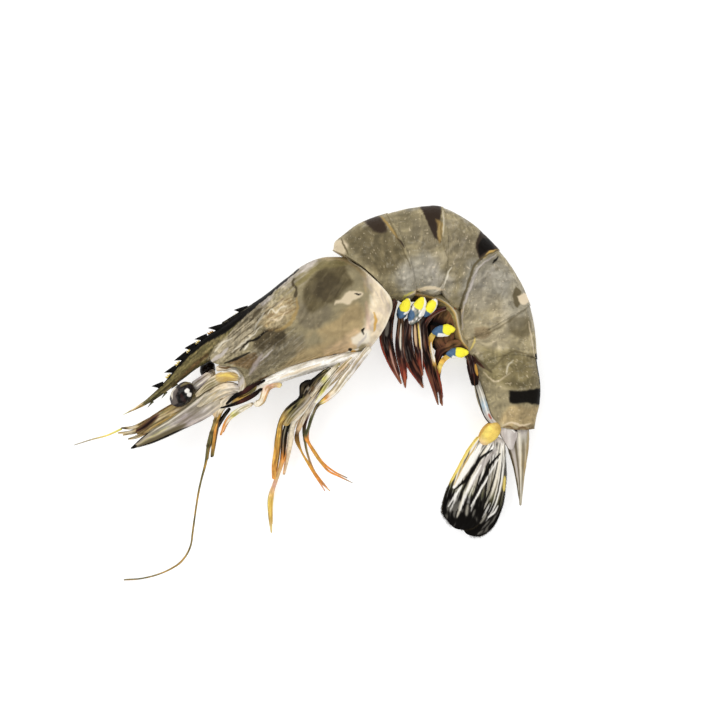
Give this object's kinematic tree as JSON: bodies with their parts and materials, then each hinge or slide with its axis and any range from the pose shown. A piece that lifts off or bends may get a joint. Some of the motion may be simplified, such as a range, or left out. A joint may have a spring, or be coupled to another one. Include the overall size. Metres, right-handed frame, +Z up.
{
  "type": "raw tiger prawn",
  "caption": "Raw whole prawn, head and shell on, lying curled on its side with toothed snout, banded tail, legs and fanned tail end.",
  "frame": {"origin": "middle of the whole prawn's outline, on the table that it lies on", "axes": "+Z up out of the prawn's left side, +X from the head towards the outside of the curled tail, +Y from the legs towards the back"},
  "size_m": [0.1416, 0.1139, 0.0236],
  "materials": {
    "shell": "wet translucent taupe shell with dark bands",
    "soft_underside": "wet pale cream skin",
    "scale_blade": "wet pale grey blade",
    "eye": "wet black-purple",
    "leg": "wet orange and cream, joints darker",
    "swimming_limb": "wet dark maroon with pale stripes and yellow spots",
    "tail_fan": "wet, white near its root and black at its end",
    "feeler": "wet olive brown"
  },
  "bodies": {
    "root": {"abdomen_1": "shell", "abdomen_2": "shell", "abdomen_3": "shell", "abdomen_4": "shell", "abdomen_5": "shell", "abdomen_6": "shell", "antenna_base_left": "soft_underside", "antenna_base_right": "soft_underside", "antenna_left": "feeler", "antennal_scale_left": "scale_blade", "antennal_scale_right": "scale_blade", "antennule_left": "feeler", "antennule_right": "feeler", "antennule_thread": "feeler", "carapace": "shell", "eye_left": "eye", "eye_right": "eye", "eyestalk_left": "soft_underside", "eyestalk_right": "soft_underside", "leg_1_left": "leg", "leg_1_right": "leg", "leg_2_left": "leg", "leg_2_right": "leg", "leg_3_left": "leg", "leg_3_right": "leg", "leg_4_left": "leg", "leg_4_right": "leg", "leg_5_left": "leg", "leg_5_right": "leg", "maxilliped_left": "leg", "maxilliped_right": "leg", "mouth_limb_left": "leg", "mouth_limb_right": "leg", "pleopod_1_left": "swimming_limb", "pleopod_1_right": "swimming_limb", "pleopod_2_left": "swimming_limb", "pleopod_2_right": "swimming_limb", "pleopod_3_left": "swimming_limb", "pleopod_3_right": "swimming_limb", "pleopod_4_left": "swimming_limb", "pleopod_4_right": "swimming_limb", "pleopod_5_left": "swimming_limb", "pleopod_5_right": "swimming_limb", "telson": "shell", "thorax": "soft_underside", "uropod_base_left": "tail_fan", "uropod_base_right": "tail_fan", "uropod_endopod_left": "tail_fan", "uropod_endopod_right": "tail_fan", "uropod_exopod_left": "tail_fan", "uropod_exopod_right": "tail_fan"}
  },
  "joints": []
}
